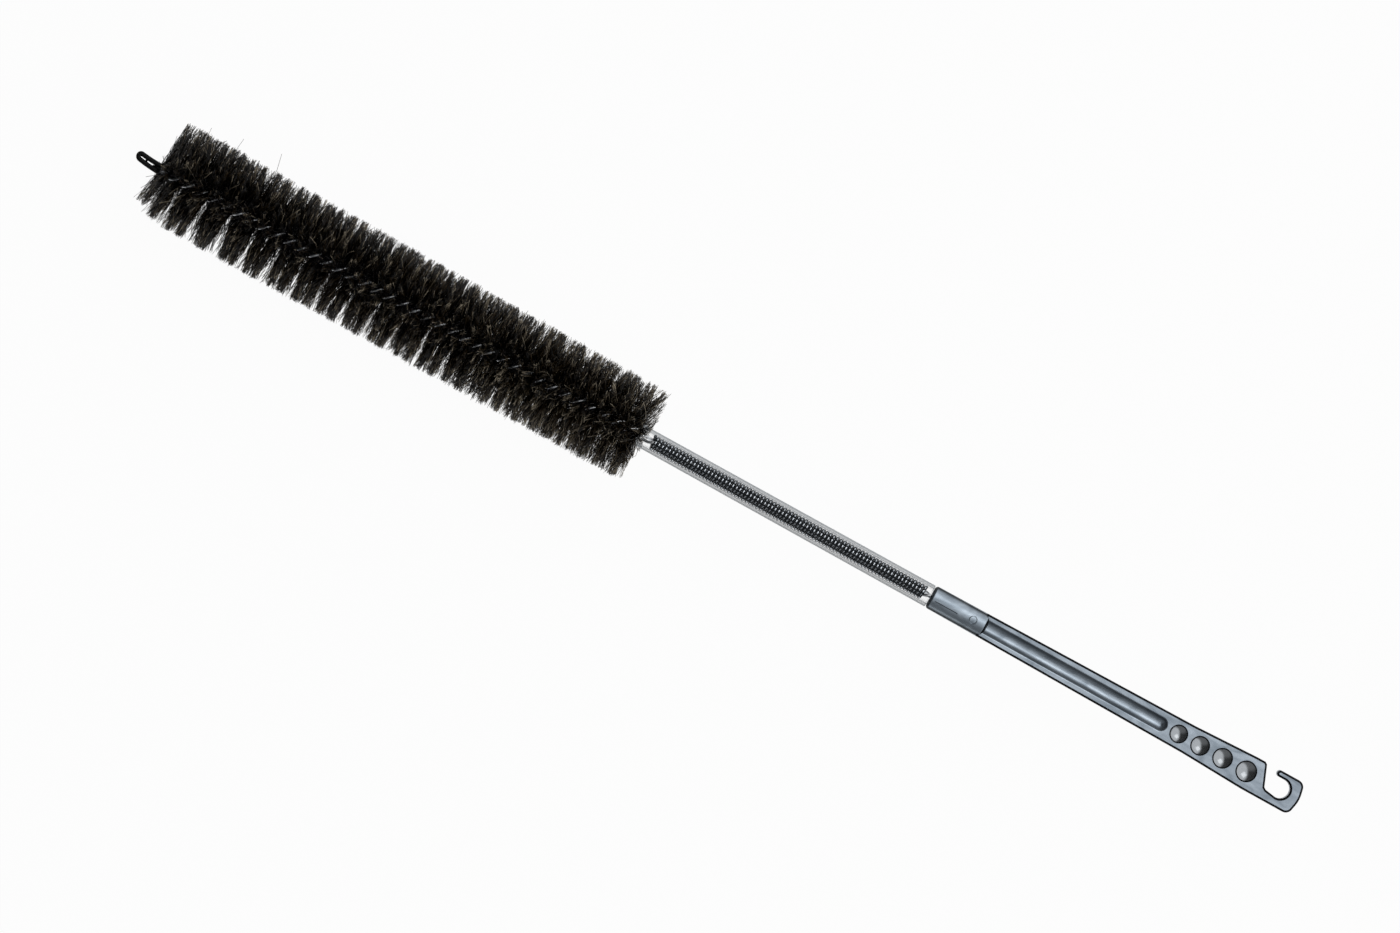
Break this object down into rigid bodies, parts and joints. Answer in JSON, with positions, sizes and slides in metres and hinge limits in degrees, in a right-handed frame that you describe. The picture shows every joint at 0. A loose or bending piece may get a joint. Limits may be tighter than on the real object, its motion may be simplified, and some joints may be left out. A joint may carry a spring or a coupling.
{
  "type": "dryer lint brush",
  "caption": "Long flexible cleaning brush: dark bristles in a twisted wire stem, a spring guarded neck in a clear sleeve, and a grey moulded handle with a hanging hook.",
  "frame": {"origin": "middle of the length and width, on the plane that the lowest bristles stand on", "axes": "+X along the brush's length from the tip loop towards the hook, +Y towards the side that the hook's mouth opens to, +Z out of the handle's upper face"},
  "size_m": [0.7312, 0.0578, 0.0574],
  "materials": {
    "handle_plastic": "satin moulded grey plastic",
    "clear_vinyl": "clear flexible tubing",
    "spring_steel": "dark oiled spring wire",
    "wire_steel": "bright galvanised wire",
    "black_vinyl": "dipped black plastic coat",
    "bristle_fibre": "black and brown stiff fibre"
  },
  "bodies": {
    "grip": {"handle": "handle_plastic", "clear_sleeve": "clear_vinyl", "neck_spring": "spring_steel"},
    "head": {"twisted_wire_stem": "wire_steel", "tip_dip": "black_vinyl", "bristles_01": "bristle_fibre", "bristles_02": "bristle_fibre", "bristles_03": "bristle_fibre", "bristles_04": "bristle_fibre", "bristles_05": "bristle_fibre", "bristles_06": "bristle_fibre", "bristles_07": "bristle_fibre", "bristles_08": "bristle_fibre", "bristles_09": "bristle_fibre", "bristles_10": "bristle_fibre"}
  },
  "joints": [
    {"name": "neck_flex", "type": "hinge", "parent": "grip", "child": "head", "pos_m": [0.0424, 0, 0.0285], "axis": [0, 0, 1], "range_deg": [-35, 35], "stiffness_Nm_per_rad": 2, "deforming": ["clear_sleeve", "neck_spring", "twisted_wire_stem"]}
  ]
}
